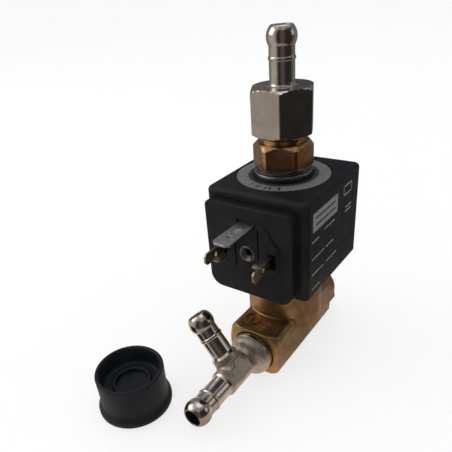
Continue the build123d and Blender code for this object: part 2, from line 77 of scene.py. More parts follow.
class Paint:
    """A procedural material made from a few kinds of noise."""

    def __init__(self, name, turned=None, **constants):
        self.made = bpy.data.materials.new(name)
        self.made.use_nodes = True
        self.nodes = self.made.node_tree.nodes
        self.links = self.made.node_tree.links
        self.shader = self.nodes["Principled BSDF"]
        for socket, value in constants.items():
            self.shader.inputs[socket.replace("_", " ")].default_value = value
        self.place = self.nodes.new("ShaderNodeTexCoord").outputs["Object"]
        if turned is not None:
            spun = self.nodes.new("ShaderNodeMapping")
            spun.inputs["Rotation"].default_value = turned.inverted().to_euler()
            self.join(self.place, spun.inputs["Vector"])
            self.place = spun.outputs["Vector"]
        self.height = None

    def join(self, source, target):
        self.links.new(source, target)

    def noise(self, size, detail=3.0, stretch=(1.0, 1.0, 1.0), rough=0.55, warp=0.0):
        """Noise whose blobs are about size mm across, stretched along the axes."""
        mapping = self.nodes.new("ShaderNodeMapping")
        mapping.inputs["Scale"].default_value = [1000.0 / (size * s) for s in stretch]
        self.join(self.place, mapping.inputs["Vector"])
        node = self.nodes.new("ShaderNodeTexNoise")
        node.inputs["Scale"].default_value = 1.0
        node.inputs["Detail"].default_value = detail
        node.inputs["Roughness"].default_value = rough
        node.inputs["Distortion"].default_value = warp
        self.join(mapping.outputs["Vector"], node.inputs["Vector"])
        return node.outputs["Fac"]

    def remap(self, value, low, high, out_low=0.0, out_high=1.0, smooth=False):
        node = self.nodes.new("ShaderNodeMapRange")
        node.interpolation_type = "SMOOTHSTEP" if smooth else "LINEAR"
        for name, number in zip(("From Min", "From Max", "To Min", "To Max"), (low, high, out_low, out_high)):
            node.inputs[name].default_value = number
        self.join(value, node.inputs["Value"])
        return node.outputs["Result"]

    def maths(self, kind, a, b=0.0):
        node = self.nodes.new("ShaderNodeMath")
        node.operation = kind
        for socket, value in zip(node.inputs, (a, b)):
            if isinstance(value, (int, float)):
                socket.default_value = value
            else:
                self.join(value, socket)
        return node.outputs["Value"]

    def blend(self, factor, a, b, kind="MIX"):
        node = self.nodes.new("ShaderNodeMix")
        node.data_type = "RGBA"
        node.blend_type = kind
        for name, value in (("Factor_Float", factor), ("A_Color", a), ("B_Color", b)):
            socket = next(s for s in node.inputs if s.identifier == name)
            if isinstance(value, (tuple, list)):
                socket.default_value = (*value[:3], 1.0)
            elif isinstance(value, (int, float)):
                socket.default_value = value
            else:
                self.join(value, socket)
        return next(s for s in node.outputs if s.identifier == "Result_Color")

    def axes(self):
        node = self.nodes.new("ShaderNodeSeparateXYZ")
        self.join(self.place, node.inputs["Vector"])
        return node.outputs

    def colour(self, source):
        self.join(source, self.shader.inputs["Base Color"])
        return self

    def roughness(self, source):
        self.join(source, self.shader.inputs["Roughness"])
        return self

    def bump(self, source, depth):
        """Adds relief of the given depth in mm on top of any relief already there."""
        node = self.nodes.new("ShaderNodeBump")
        node.inputs["Strength"].default_value = 1.0
        node.inputs["Distance"].default_value = depth * MM
        self.join(source, node.inputs["Height"])
        if self.height is not None:
            self.join(self.height, node.inputs["Normal"])
        self.height = node.outputs["Normal"]
        self.join(self.height, self.shader.inputs["Normal"])
        return self


def metal(
    name, dark, light, rough, mottle, grain, depth, lines=None, line_depth=0.0,
    patina=0.0, turned=None, solid=1.0, fleck=0.0,
):
    """Bare or plated metal: mottled colour, uneven gloss, fine grain, and turning or milling lines.

    mottle, grain and depth are in mm; lines is their spacing and the way they are stretched.
    """
    p = Paint(name, turned, Metallic=solid)
    cloud = p.noise(mottle, 4.0, warp=0.4)
    tone = p.blend(p.remap(cloud, 0.35, 0.65), dark, light)
    if patina:
        spots = p.remap(p.noise(mottle * 0.35, 5.0, rough=0.7), 0.56, 0.74)
        tone = p.blend(p.maths("MULTIPLY", spots, patina), tone, [c * 0.45 for c in dark])
    if fleck:
        speckle = p.remap(p.noise(0.42, 2.0, rough=0.7), 0.32, 0.68, 1.0 - fleck, 1.0 + fleck)
        tone = p.blend(1.0, tone, speckle, "MULTIPLY")
    gloss = p.remap(p.noise(mottle * 0.5, 5.0, rough=0.65), 0.3, 0.7, rough[0], rough[1])
    if lines:
        scratch = p.noise(lines[0], 2.0, lines[1])
        gloss = p.maths("ADD", gloss, p.remap(scratch, 0.3, 0.7, -0.05, 0.05))
        p.bump(scratch, line_depth)
    p.bump(p.noise(grain, 3.0, rough=0.7), depth)
    return p.colour(tone).roughness(gloss)


def moulded(name, dark, light, rough, grain, depth, specular=0.5, dust=0.0):
    """Plastic or rubber: soft tone changes, fine moulded grain, a little dust."""
    p = Paint(name, Specular_IOR_Level=specular)
    tone = p.blend(p.remap(p.noise(9.0, 3.0), 0.35, 0.65), dark, light)
    gloss = p.remap(p.noise(4.0, 5.0, rough=0.65), 0.3, 0.7, rough[0], rough[1])
    if dust:
        specks = p.remap(p.noise(0.5, 6.0, rough=0.8), 0.66, 0.78)
        patch = p.remap(p.noise(12.0, 3.0), 0.45, 0.7)
        cover = p.maths("MULTIPLY", p.maths("MULTIPLY", specks, patch), dust)
        tone = p.blend(cover, tone, (0.16, 0.16, 0.16))
    p.bump(p.noise(grain, 2.0, rough=0.6), depth)
    return p.colour(tone).roughness(gloss)


brass = metal(
    "forged_brass", (0.27, 0.155, 0.072), (0.43, 0.265, 0.130), (0.32, 0.44), 4.0, 0.28, 0.024,
    patina=0.55, solid=0.93, fleck=0.22,
)
brass.bump(brass.noise(2.6, 3.0), 0.03)


def turn_front(p):
    """Makes the block's turned front end, its flat and its bevel, brighter than the forging."""
    x, y, z = p.axes()
    rise = p.maths("SUBTRACT", z, PORT_Z * MM)
    radius = p.maths("SQRT", p.maths("ADD", p.maths("MULTIPLY", x, x), p.maths("MULTIPLY", rise, rise)))
    cone = p.maths("MULTIPLY", p.maths("SUBTRACT", radius, BEVEL_R * MM), BEVEL_SLOPE)
    depth = p.maths("SUBTRACT", y, FRONT * MM)
    bevel = p.remap(p.maths("ABSOLUTE", p.maths("SUBTRACT", depth, cone)), 0.2 * MM, 1.6 * MM, 1.0, 0.0, True)
    mask = p.maths("MAXIMUM", bevel, p.remap(depth, 0.1 * MM, 1.2 * MM, 1.0, 0.0, True))
    forged = p.shader.inputs["Base Color"].links[0].from_socket
    bright = p.blend(p.remap(p.noise(2.5, 3.0), 0.35, 0.65), (0.37, 0.222, 0.102), (0.48, 0.30, 0.148))
    p.colour(p.blend(mask, forged, bright))


turn_front(brass)
turned_brass = metal(
    "turned_brass", (0.48, 0.265, 0.13), (0.64, 0.40, 0.225), (0.15, 0.24), 3.0, 0.25, 0.002,
    (0.30, (1.0, 1.0, 0.02)), 0.006, patina=0.12,
)
flange_brass = metal(
    "flange_brass", (0.46, 0.30, 0.14), (0.60, 0.40, 0.20), (0.24, 0.34), 4.0, 0.3, 0.004, patina=0.15
)
nickel_hex = metal(
    "nickel_satin", (0.49, 0.455, 0.415), (0.58, 0.545, 0.505), (0.20, 0.28), 6.0, 0.20, 0.004,
    (0.13, (1.0, 1.0, 0.03)), 0.003, patina=0.12,
)
TUBE = (
    (0.60, 0.57, 0.54), (0.70, 0.67, 0.64), (0.13, 0.20), 5.0, 0.5, 0.0015,
    (0.10, (0.02, 0.02, 1.0)), 0.0015,
)
nickel_tube = metal("nickel_upright", *TUBE)
nickel_run = metal("nickel_run", *TUBE, turned=run)
nickel_branch = metal("nickel_branch", *TUBE, turned=branch)
nickel_forged = metal(
    "nickel_forged", (0.44, 0.395, 0.345), (0.57, 0.52, 0.465), (0.33, 0.45), 1.6, 0.26, 0.040,
    patina=0.18, turned=run, solid=0.93, fleck=0.26,
)
steel = metal("steel_turned", (0.48, 0.48, 0.47), (0.62, 0.62, 0.60), (0.2, 0.3), 4.0, 0.3, 0.004)
washer_bright = metal(
    "washer_bright", (0.22, 0.22, 0.225), (0.34, 0.34, 0.34), (0.20, 0.30), 2.5, 0.3, 0.002, patina=0.2
)
washer_dark = metal(
    "washer_dark", (0.10, 0.10, 0.105), (0.17, 0.17, 0.175), (0.26, 0.38), 2.5, 0.3, 0.004, patina=0.3
)
bush_metal = metal("bush_zinc", (0.16, 0.16, 0.165), (0.28, 0.28, 0.29), (0.34, 0.46), 1.5, 0.25, 0.008)
blade_tin = metal(
    "tinned_blade", (0.40, 0.395, 0.39), (0.70, 0.69, 0.68), (0.30, 0.44), 0.7, 0.30, 0.02,
    (0.22, (1.0, 0.25, 1.0)), 0.03, patina=0.4, turned=Matrix.Rotation(0.6, 4, "Z"),
)
blade_brass = metal(
    "tinned_brass_blade", (0.36, 0.31, 0.25), (0.58, 0.52, 0.44), (0.30, 0.42), 0.8, 0.35, 0.014, patina=0.3
)
copper = metal("copper_wire", (0.50, 0.22, 0.12), (0.66, 0.32, 0.18), (0.25, 0.35), 2.0, 0.3, 0.005)
coil_plastic = moulded(
    "coil_plastic", (0.0070, 0.0080, 0.0098), (0.0105, 0.0118, 0.0142), (0.40, 0.52), 0.32, 0.020,
    specular=0.26, dust=0.6,
)
cap_rubber = moulded(
    "cap_rubber", (0.0090, 0.0115, 0.0155), (0.0130, 0.0162, 0.0210), (0.42, 0.54), 0.5, 0.006,
    specular=0.26, dust=0.3,
)
elastomer = moulded("elastomer", (0.008, 0.008, 0.008), (0.013, 0.013, 0.013), (0.45, 0.6), 0.3, 0.01)
nylon = moulded("bobbin_nylon", (0.50, 0.46, 0.38), (0.60, 0.56, 0.48), (0.4, 0.5), 0.5, 0.01)
ink = moulded("print_ink", (0.19, 0.19, 0.18), (0.28, 0.28, 0.265), (0.45, 0.6), 0.3, 0.004)
plate_ink = moulded("plate_ink", (0.018, 0.018, 0.018), (0.03, 0.03, 0.03), (0.4, 0.5), 0.3, 0.002)
plate_foil = metal(
    "plate_foil", (0.42, 0.42, 0.42), (0.52, 0.52, 0.52), (0.36, 0.46), 2.0, 0.25, 0.004, solid=0.75
)


def label_paint():
    """Ring label: silver outside with short dark ticks, dark inside with light ticks."""
    p = Paint("ring_label", Metallic=0.55)
    x, y, _ = p.axes()
    squares = p.maths("ADD", p.maths("MULTIPLY", x, x), p.maths("MULTIPLY", y, y))
    radius = p.maths("MULTIPLY", p.maths("SQRT", squares), 1000.0)
    turn = p.maths("ARCTAN2", y, x)

    def ticks(count, low, high, width, gate, seed, reach):
        """Radial ticks between two radii in mm, within reach radians of the -Y side."""
        wave = p.maths("SINE", p.maths("MULTIPLY", turn, count))
        fine = p.maths("SINE", p.maths("ADD", p.maths("MULTIPLY", turn, count * 0.37), seed))
        on = p.maths("MULTIPLY", p.maths("GREATER_THAN", wave, width), p.maths("GREATER_THAN", fine, gate))
        band = p.maths("MULTIPLY", p.maths("GREATER_THAN", radius, low), p.maths("LESS_THAN", radius, high))
        sector = p.maths("LESS_THAN", p.maths("ABSOLUTE", p.maths("ADD", turn, 1.52)), reach)
        return p.maths("MULTIPLY", p.maths("MULTIPLY", on, band), sector)

    silver = p.blend(p.remap(p.noise(1.2, 4.0), 0.35, 0.65), (0.25, 0.25, 0.255), (0.34, 0.34, 0.34))
    dark = p.blend(p.remap(p.noise(1.0, 4.0), 0.35, 0.65), (0.020, 0.023, 0.032), (0.036, 0.040, 0.052))
    outer = p.blend(ticks(58, 12.7, 15.0, 0.1, -0.45, 0.6, 0.42), silver, (0.015, 0.015, 0.015))
    inner = p.blend(ticks(120, 10.7, 11.5, 0.2, -0.1, 1.9, 9.0), dark, (0.22, 0.22, 0.22))
    split = p.remap(radius, 11.85, 11.95)
    p.colour(p.blend(split, inner, outer))
    p.roughness(p.remap(p.noise(1.5, 4.0), 0.3, 0.7, 0.32, 0.46))
    return p.bump(p.noise(0.3, 2.0), 0.004)


ring_label = label_paint()


# ---------------------------------------------------------------- mesh tools


def piece(name, verts, faces, body, paint, replaces=(), slot=None, sharp=32.0, matrix=None):
    """A named mesh from millimetre points, riding on a body."""
    verts = np.asarray(verts, float)
    if matrix is not None:
        turn = np.array(matrix)
        verts = verts @ turn[:3, :3].T + turn[:3, 3]
    mesh = bpy.data.meshes.new(name)
    mesh.from_pydata((verts * MM).tolist(), [], faces.tolist() if isinstance(faces, np.ndarray) else faces)
    work = bmesh.new()
    work.from_mesh(mesh)
    bmesh.ops.remove_doubles(work, verts=work.verts, dist=2e-7)
    bmesh.ops.recalc_face_normals(work, faces=work.faces)
    work.to_mesh(mesh)
    work.free()
    mesh.shade_smooth()
    if sharp:
        mesh.set_sharp_from_angle(angle=math.radians(sharp))
    mesh.materials.append(paint.made)
    made = bpy.data.objects.new(name, mesh)
    bpy.context.scene.collection.objects.link(made)
    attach(made, body)
    if replaces:
        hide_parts(*replaces)
    return made


def soften(points, closed=False, grain=9.0):
    """Rounds a polyline's corners; a point is (a, b) or (a, b, radius)."""
    spots = [np.array(p[:2], float) for p in points]
    radii = [p[2] if len(p) > 2 else 0.0 for p in points]
    out = []
    count = len(spots)
    for i, here in enumerate(spots):
        if radii[i] <= 0 or (not closed and i in (0, count - 1)):
            out.append(here)
            continue
        back, ahead = spots[i - 1] - here, spots[(i + 1) % count] - here
        len_back, len_ahead = np.hypot(*back), np.hypot(*ahead)
        back, ahead = back / len_back, ahead / len_ahead
        half = math.acos(max(-1.0, min(1.0, float(back @ ahead)))) / 2
        if half > math.pi / 2 - 0.01:
            out.append(here)
            continue
        reach = min(radii[i] / math.tan(half), 0.48 * len_back, 0.48 * len_ahead)
        radius = reach * math.tan(half)
        middle = here + (back + ahead) / np.hypot(*(back + ahead)) * radius / math.sin(half)
        start, end = here + back * reach - middle, here + ahead * reach - middle
        sweep = math.pi - 2 * half
        steps = max(2, int(math.degrees(sweep) / grain))
        side = math.copysign(1.0, start[0] * end[1] - start[1] * end[0])
        for k in range(steps + 1):
            a = side * sweep * k / steps
            cos, sin = math.cos(a), math.sin(a)
            out.append(middle + np.array([start[0] * cos - start[1] * sin, start[0] * sin + start[1] * cos]))
    return np.array(out)


def weave(loops, shut=False):
    """Quads between matching closed loops."""
    count, size = len(loops), len(loops[0])
    verts = np.concatenate(loops)
    rows = np.arange(count if shut else count - 1)
    column = np.arange(size)
    r, c = np.meshgrid(rows, column, indexing="ij")
    nxt_r, nxt_c = (r + 1) % count, (c + 1) % size
    quads = np.stack([r * size + c, r * size + nxt_c, nxt_r * size + nxt_c, nxt_r * size + c], -1)
    return verts, quads.reshape(-1, 4).tolist()


def spin(profile, shut=True, columns=144):
    """A lathe about local Z from (radius, z) points."""
    angle = np.linspace(0, 2 * math.pi, columns, endpoint=False)
    loops = [np.stack([r * np.cos(angle), r * np.sin(angle), np.full(columns, z)], 1) for r, z in profile]
    return weave(loops, shut)


def soft_min(a, b, k):
    """The smaller of a and b, blended over k where they are close."""
    h = np.clip(0.5 + 0.5 * (b - a) / k, 0, 1)
    return b * (1 - h) + a * h - k * h * (1 - h)


def hexed(profile, across, turn, edge=0.12, rows=0.35):
    """A lathe whose radius is also limited by a hexagon, with softened edges."""
    share = np.linspace(-1, 1, 41)[:-1]
    share = np.sign(share) * (1 - (1 - np.abs(share)) ** 1.7)
    angle = np.concatenate([math.radians(turn + 30 + 60 * k) + share * math.pi / 6 for k in range(6)])
    limit = np.full(len(angle), 1e3)
    for k in range(6):
        facing = np.cos(angle - math.radians(turn + 30 + 60 * k))
        flat = np.where(facing > 0.3, across / 2 / np.maximum(facing, 0.3), 1e3)
        limit = soft_min(limit, flat, edge * 2.2)
    fine = []
    ends = list(profile) + [profile[0]]
    for (r0, z0), (r1, z1) in zip(ends, ends[1:]):
        split = max(r0, r1) > across / 2 - 0.6 and abs(z1 - z0) > 1e-6
        steps = max(1, int(abs(z1 - z0) / rows)) if split else 1
        fine += [(r0 + (r1 - r0) * k / steps, z0 + (z1 - z0) * k / steps) for k in range(steps)]
    loops = []
    for r, z in fine:
        radius = np.full(len(angle), r)
        if r > across / 2 - 0.5:
            radius = soft_min(radius, limit, edge * 2)
        loops.append(np.stack([radius * np.cos(angle), radius * np.sin(angle), np.full(len(angle), z)], 1))
    return weave(loops, True)


# distance functions for forged and moulded shapes


def tube(u, v, radius):
    """A disc: negative inside radius."""
    return np.hypot(u, v) - radius


def rect(u, v, half_u, half_v, r=0.0):
    """A rectangle about the origin, its corners rounded by r."""
    a, b = np.abs(u) - half_u + r, np.abs(v) - half_v + r
    return np.hypot(np.maximum(a, 0), np.maximum(b, 0)) + np.minimum(np.maximum(a, b), 0) - r


def prism(flat, w, low, high, r=0.0):
    """A flat shape given as a distance, drawn out along w with its rims rounded by r."""
    a, b = flat + r, np.abs(w - (low + high) / 2) - (high - low) / 2 + r
    return np.hypot(np.maximum(a, 0), np.maximum(b, 0)) + np.minimum(np.maximum(a, b), 0) - r


def polygon(points, u, v):
    """Signed distance to a closed polygon."""
    best = np.full(np.shape(u), 1e9)
    inside = np.zeros(np.shape(u), bool)
    for (x0, y0), (x1, y1) in zip(points, points[1:] + points[:1]):
        ex, ey = x1 - x0, y1 - y0
        du, dv = u - x0, v - y0
        along = np.clip((du * ex + dv * ey) / (ex * ex + ey * ey), 0, 1)
        best = np.minimum(best, np.hypot(du - ex * along, dv - ey * along))
        crosses = (y0 <= v) != (y1 <= v)
        with np.errstate(divide="ignore", invalid="ignore"):
            where = x0 + (v - y0) * ex / (ey if ey else 1e-12)
        inside ^= crosses & (u < where)
    return np.where(inside, -best, best)


def union(a, b, k):
    """Both solids, with a fillet of radius k where they meet."""
    u, v = np.maximum(k - a, 0), np.maximum(k - b, 0)
    return np.maximum(k, np.minimum(a, b)) - np.hypot(u, v)


def cut(a, b, k):
    """a without b, with the rim rounded by k."""
    u, v = np.maximum(k + a, 0), np.maximum(k - b, 0)
    return np.minimum(-k, np.maximum(a, -b)) + np.hypot(u, v)


def skin(solid, low, high, step):
    """Points and quads on the zero surface of a distance function, each point moved onto the surface."""
    axes = [np.arange(a, b + step, step) for a, b in zip(low, high)]
    value = solid(*np.meshgrid(*axes, indexing="ij"))
    inside = value < 0
    shape = value.shape

    def shifted(grid, o):
        return grid[o[0] : shape[0] - 1 + o[0], o[1] : shape[1] - 1 + o[1], o[2] : shape[2] - 1 + o[2]]

    corners = [(i, j, k) for i in (0, 1) for j in (0, 1) for k in (0, 1)]
    filled = sum(shifted(inside, o).astype(np.int8) for o in corners)
    active = (filled > 0) & (filled < 8)
    cell = np.full(active.shape, -1, np.int64)
    cell[active] = np.arange(active.sum())
    total, hits = np.zeros((active.sum(), 3)), np.zeros(active.sum())
    for o in corners:
        for axis in range(3):
            if o[axis]:
                continue
            far = list(o)
            far[axis] = 1
            a, b = shifted(value, o)[active], shifted(value, far)[active]
            crossed = (a < 0) != (b < 0)
            share = np.where(crossed, a / np.where(crossed, a - b, 1.0), 0.0)
            for other in range(3):
                total[:, other] += crossed * (share if other == axis else o[other])
            hits += crossed
    points = np.array(low) + step * (np.argwhere(active) + total / hits[:, None])
    tiny = 0.02
    for _ in range(4):
        here = solid(*points.T)
        moves = np.eye(3) * tiny
        rises = [solid(*(points + move).T) - solid(*(points - move).T) for move in moves]
        slope = np.stack([rise / (2 * tiny) for rise in rises], 1)
        shift = here / np.maximum((slope**2).sum(1), 0.25)
        points = points - np.clip(shift, -0.4 * step, 0.4 * step)[:, None] * slope
    quads = []
    for axis in range(3):
        u, v = (axis + 1) % 3, (axis + 2) % 3
        near, far = [slice(None)] * 3, [slice(None)] * 3
        near[axis], far[axis] = slice(0, -1), slice(1, None)
        change = inside[tuple(near)] != inside[tuple(far)]
        spot = np.argwhere(change)
        leaving = inside[tuple(near)][change]
        keep = (spot[:, u] > 0) & (spot[:, v] > 0) & (spot[:, u] < shape[u] - 1) & (spot[:, v] < shape[v] - 1)
        spot, leaving = spot[keep], leaving[keep]

        def at(du, dv):
            moved = spot.copy()
            moved[:, u] -= du
            moved[:, v] -= dv
            return cell[moved[:, 0], moved[:, 1], moved[:, 2]]

        quad = np.stack([at(0, 0), at(1, 0), at(1, 1), at(0, 1)], 1)
        quad[~leaving] = quad[~leaving][:, ::-1]
        quads.append(quad)
    return points, np.concatenate(quads)


def carved(name, solid, low, high, fine, coarse, *rest, **more):
    points, quads = skin(solid, low, high, fine)
    return piece(name, points, quads, *rest, sharp=None, **more)


def lathe(name, profile, *rest, columns=144, **more):
    """A lathe piece from a closed (radius, z) outline."""
    verts, faces = spin(profile, columns=columns)
    return piece(name, verts, faces, *rest, **more)


# ---------------------------------------------------------------- brass body

THREAD_PITCH = 1.337


def body_solid(x, y, z):
    """Block with a turned front, tower, rear boss with its lug, ports, thread and passages."""
    block = prism(rect(x, z - 8.6, 10.0, 8.6, 2.4), y, FRONT, 21.0, 0.3)
    bevel = (y - FRONT - BEVEL_SLOPE * tube(x, z - PORT_Z, BEVEL_R)) / BEVEL_SCALE
    block = cut(block, bevel, 0.45)
    tower = prism(tube(x, y, 14.0), z, 11.4, 29.0, 0.8)
    soft = 0.8 + 2.4 * np.clip((y + 6.0) / 16.0, 0, 1)
    shape = union(block, tower, soft)
    lug = [(-7.2, 0.0), (7.2, 0.0), (9.5, 4.0), (9.0, 7.0), (-9.0, 7.0), (-9.5, 4.0)]
    boss = prism(np.minimum(tube(x, z - PORT_Z, 9.2), polygon(lug, x, z)), y, 15.0, 28.0, 0.5)
    shape = union(shape, boss, 1.0)
    shape = np.maximum(shape, -z)
    shape = cut(shape, prism(tube(x, z - PORT_Z, 8.25), y, -30.0, FRONT + 0.4), 0.15)
    shape = cut(shape, prism(tube(x, z - PORT_Z, 6.62), y, -30.0, -12.4), 0.15)
    shape = cut(shape, prism(tube(x, z - PORT_Z, 1.9), y, -30.0, 2.2), 0.1)
    lead = np.arctan2(z - PORT_Z, x) / (2 * math.pi)
    thread = 5.72 + 0.40 * (1 - np.cos(2 * math.pi * (y / THREAD_PITCH - lead)))
    taper = np.maximum(thread, 5.78 + 0.85 * np.clip(y - 27.0, 0, 1.2))
    shape = cut(shape, prism((np.hypot(x, z - PORT_Z) - taper) * 0.7, y, 16.0, 40.0), 0.1)
    shape = cut(shape, prism(tube(x, z - PORT_Z, 1.9), y, 4.0, 40.0), 0.1)
    shape = cut(shape, prism(tube(x, y, 9.0), z, 18.5, 40.0), 0.2)
    shape = cut(shape, prism(tube(x, y, 6.6), z, 13.0, 40.0), 0.2)
    shape = cut(shape, prism(tube(x, y, 2.6), z, 10.6, 40.0), 0.1)
    shape = cut(shape, prism(tube(x, y, 1.4), z, PORT_Z, 40.0), 0.1)
    return cut(shape, prism(tube(x, y - 5.0, 1.3), z, PORT_Z, 14.0), 0.1)


carved(
    "body_forging", body_solid, (-14.8, -25.3, -0.9), (14.8, 28.9, 29.9), 0.28, 0.5,
    "valve", brass, ["valve_body"], "brass",
)

# marks on the block's top: a plain ring round a bar, and two bars, each (x, y, half x, half y)
MARK_TOP = 17.6
MARK_RING_X, MARK_RING_Y = -3.8, -17.7
MARK_BARS = ((MARK_RING_X, MARK_RING_Y, 0.3, 1.5), (2.9, -20.0, 1.3, 0.3), (2.9, -17.6, 1.3, 0.3))
rim = soften([(5.8, 17.0), (5.8, MARK_TOP, 0.12), (6.4, MARK_TOP, 0.12), (6.4, 17.0)])
verts, faces = spin([(r - 3.05, z) for r, z in rim], False, 72)
verts = verts + np.array([MARK_RING_X, MARK_RING_Y, 0.0])
piece("body_mark_ring", verts, faces, "valve", brass, (), "brass")
for index, (u, v, half_u, half_v) in enumerate(MARK_BARS):

    def bar(x, y, z, u=u, v=v, a=half_u, b=half_v):
        return prism(rect(x - u, y - v, a, b, 0.25), z, 16.6, MARK_TOP, 0.12)

    low = (u - half_u - 0.3, v - half_v - 0.3, 16.3)
    high = (u + half_u + 0.3, v + half_v + 0.3, MARK_TOP + 0.2)
    carved(f"body_mark_{index}", bar, low, high, 0.09, 0.09, "valve", brass, (), "brass")

# ---------------------------------------------------------------- armature tube

flange = soften(
    [
        (5.6, 20.8),
        (8.95, 20.8, 0.3),
        (8.95, 29.0),
        (11.6, 29.0),
        (13.7, 30.21),
        (13.7, 31.96),
        (11.2, 33.4),
        (6.9, 33.4),
        (6.9, 68.0, 0.3),
        (5.6, 68.0),
    ],
    True,
)
verts, faces = hexed([tuple(p) for p in flange], 22.0, 0.0)
piece("tube_and_flange", verts, faces, "valve", flange_brass, ["armature_tube"], "brass_dull")

# ---------------------------------------------------------------- return spring


ROUND_WIRE = np.linspace(0, 2 * math.pi, 12, endpoint=False)
SPRING_FOOT, SPRING_TOP, STROKE = 47.6, 58.0, 1.2
SPRING_R, WIRE_R, SPRING_TURNS = 4.0, 0.28, 6.15


def helix(radius, wire, low, high, turns):
    """A round wire wound about Z, its ends' centre lines at heights low and high."""
    loops = []
    for t in np.linspace(0, 2 * math.pi * turns, int(turns * 40) + 1):
        out = np.array([math.cos(t), math.sin(t), 0.0])
        centre = out * radius + np.array([0, 0, low + (high - low) * t / (2 * math.pi * turns)])
        around = [out * math.cos(a) + np.array([0, 0, math.sin(a)]) for a in ROUND_WIRE]
        loops.append([centre + wire * spoke for spoke in around])
    verts, faces = weave(np.array(loops))
    last = len(verts) - len(ROUND_WIRE)
    faces.append(list(range(len(ROUND_WIRE))))
    faces.append(list(range(last, len(verts)))[::-1])
    return verts, faces


verts, faces = helix(SPRING_R, WIRE_R, SPRING_FOOT + WIRE_R, SPRING_TOP - WIRE_R, SPRING_TURNS)
made = piece("spring", verts, faces, "plunger", steel, ["return_spring"], "spring_steel")
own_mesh(made)

# ---------------------------------------------------------------- coil


def outline(half_x, half_y, radius, centre=(0.9, -0.3), per_side=40):
    """Points round a rounded rectangle, always the same number."""
    out = []
    spans = [((1, -1), (1, 1)), ((1, 1), (-1, 1)), ((-1, 1), (-1, -1)), ((-1, -1), (1, -1))]
    for k, ((sx0, sy0), (sx1, sy1)) in enumerate(spans):
        start = np.array([sx0 * half_x, sy0 * half_y], float)
        end = np.array([sx1 * half_x, sy1 * half_y], float)
        ahead = (end - start) / np.hypot(*(end - start))
        a, b = start + ahead * radius, end - ahead * radius
        out += [a + (b - a) * t for t in np.linspace(0, 1, per_side)]
        inward = np.array([-ahead[1], ahead[0]])
        middle = b + inward * radius
        for t in np.linspace(0, math.pi / 2, 9)[1:-1]:
            out.append(middle - inward * radius * math.cos(t) + ahead * radius * math.sin(t))
    return np.array(out) + np.array(centre)


def coil_housing():
    """The moulded box with its parting line, closed through the winding space and the bore."""
    half_x, half_y, corner = 18.7, 20.4, 2.0
    loops = []

    def wall(inset, z):
        flat = outline(half_x - inset, half_y - inset, max(corner - inset, 0.15))
        loops.append(np.column_stack([flat, np.full(len(flat), z)]))

    angle = np.arctan2(*outline(half_x, half_y, corner, (0.0, 0.0)).T[::-1])

    def ring(radius, z):
        height = np.full(len(angle), z)
        loops.append(np.column_stack([radius * np.cos(angle), radius * np.sin(angle), height]))

    for t in np.linspace(0, math.pi / 2, 5):
        wall(0.8 * (1 - math.sin(t)), 34.6 + 0.8 * (1 - math.cos(t)))
    wall(0.0, 44.02)
    wall(0.10, 44.12)
    wall(0.10, 44.26)
    wall(0.0, 44.36)
    for z in (50.0, 56.0, 62.0):
        wall(0.0, z)
    for t in np.linspace(0, math.pi / 2, 9):
        wall(1.8 * (1 - math.cos(t)), 67.8 + 1.8 * math.sin(t))
    for r, z in soften(
        [
            (17.2, 69.6),
            (16.2, 69.6, 0.15),
            (16.2, 69.1),
            (9.6, 69.1, 0.2),
            (9.6, 70.25, 0.25),
            (7.2, 70.25, 0.25),
            (7.2, 66.4),
            (15.2, 66.4),
            (15.2, 37.4),
            (7.2, 37.4),
            (7.2, 35.2),
            (9.4, 35.2),
            (9.4, 34.6),
        ]
    )[1:]:
        ring(r, z)
    return weave(loops, True)


verts, faces = coil_housing()
piece("coil_shell", verts, faces, "coil", coil_plastic, ["coil_housing"], "coil_plastic")


def plinth_solid(x, y, z):
    """Connector face: plate, raised island, slots round the contacts, bush seat and parting line."""
    w = -y
    middle, half = x + 0.2, 16.2
    upper, lower = (rect(middle, z - 49.95, half, 16.45, corner) for corner in (2.2, 4.6))
    plate = np.where(z > 50.0, upper, lower)
    shape = prism(plate, w, 19.0, 24.2, 0.5)
    island = [(6.6, 61.0), (11.6, 54.4), (11.6, 47.6), (8.6, 44.2)]
    island = [(-6.6, 61.0)] + island + [(-8.6, 44.2), (-11.6, 47.6), (-11.6, 54.4)]
    shape = union(shape, prism(polygon(island, x, z), w, 20.0, 24.8, 0.12), 0.2)
    for side in (-1, 1):
        shape = cut(shape, prism(rect(x - side * 4.4, z - 52.0, 0.22, 7.8), w, 24.25, 30.0), 0.08)
        slot = rect(x - side * 9.3, z - CONTACT_Z + side * 0.7, 1.3, 2.8, 0.3)
        shape = cut(shape, prism(slot, w, 23.2, 30.0), 0.12)
    shape = cut(shape, prism(rect(x, z - 61.0, 3.45, 0.9, 0.2), w, 23.7, 30.0), 0.12)
    shape = cut(shape, prism(tube(x, z - CONTACT_Z, 2.97), w, 21.3, 30.0), 0.1)
    groove = np.maximum(np.abs(z - 44.2) - 0.10, half - 0.12 - np.abs(middle))
    shape = cut(shape, np.maximum(groove, 20.0 - w), 0.05)
    return np.maximum(shape, 20.7 - w)


carved(
    "plinth", plinth_solid, (-17.0, -25.3, 33.0), (16.6, -20.4, 66.9), 0.2, 0.4,
    "coil", coil_plastic, ["connector_plinth"], "coil_plastic",
)

# label, plate and generic print
label = soften([(15.9, 69.1), (15.9, 69.4, 0.06), (10.4, 69.4, 0.06), (10.4, 69.1)], True)
lathe("label_ring", label, "coil", ring_label, ["ring_label"], "label_foil")


